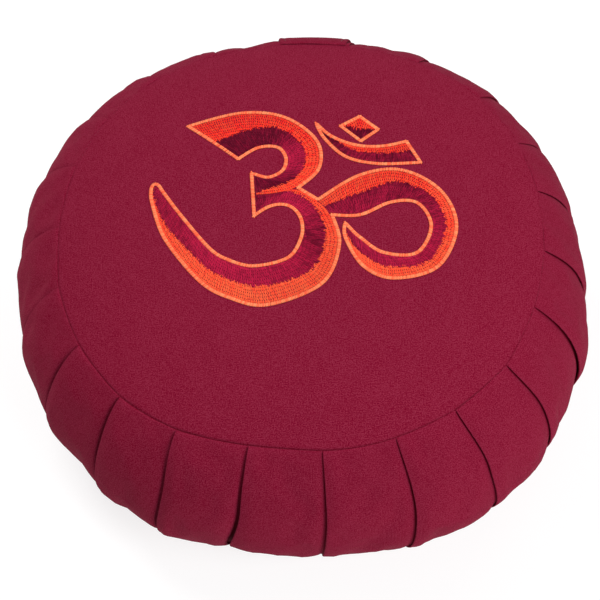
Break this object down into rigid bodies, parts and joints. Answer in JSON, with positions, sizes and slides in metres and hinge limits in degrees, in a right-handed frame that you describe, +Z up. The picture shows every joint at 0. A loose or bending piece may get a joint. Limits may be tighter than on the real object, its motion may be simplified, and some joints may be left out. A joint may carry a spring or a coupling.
{
  "type": "zafu meditation cushion",
  "caption": "Round firm sitting cushion with a knife-pleated side band, a crowned embroidered top, a flat base and a carrying strap at the back.",
  "frame": {"origin": "middle of the flat base, on the surface that the cushion rests on", "axes": "+Z up through the crown, -Y to the front, where the embroidered sign reads upright, the carrying strap at +Y"},
  "size_m": [0.3571, 0.362, 0.146],
  "materials": {
    "top_cloth": "crimson plain-weave cotton",
    "side_cloth": "crimson plain-weave cotton",
    "base_cloth": "crimson plain-weave cotton",
    "handle_cloth": "crimson plain-weave cotton",
    "outline_thread": "light orange satin embroidery thread",
    "orange_thread": "orange-red satin embroidery thread",
    "purple_thread": "dark purple satin embroidery thread",
    "magenta_thread": "magenta satin embroidery thread",
    "seam_thread": "dark crimson sewing thread"
  },
  "bodies": {
    "root": {"top_panel": "top_cloth", "pleated_side": "side_cloth", "bottom_panel": "base_cloth", "handle": "handle_cloth"}
  },
  "joints": []
}
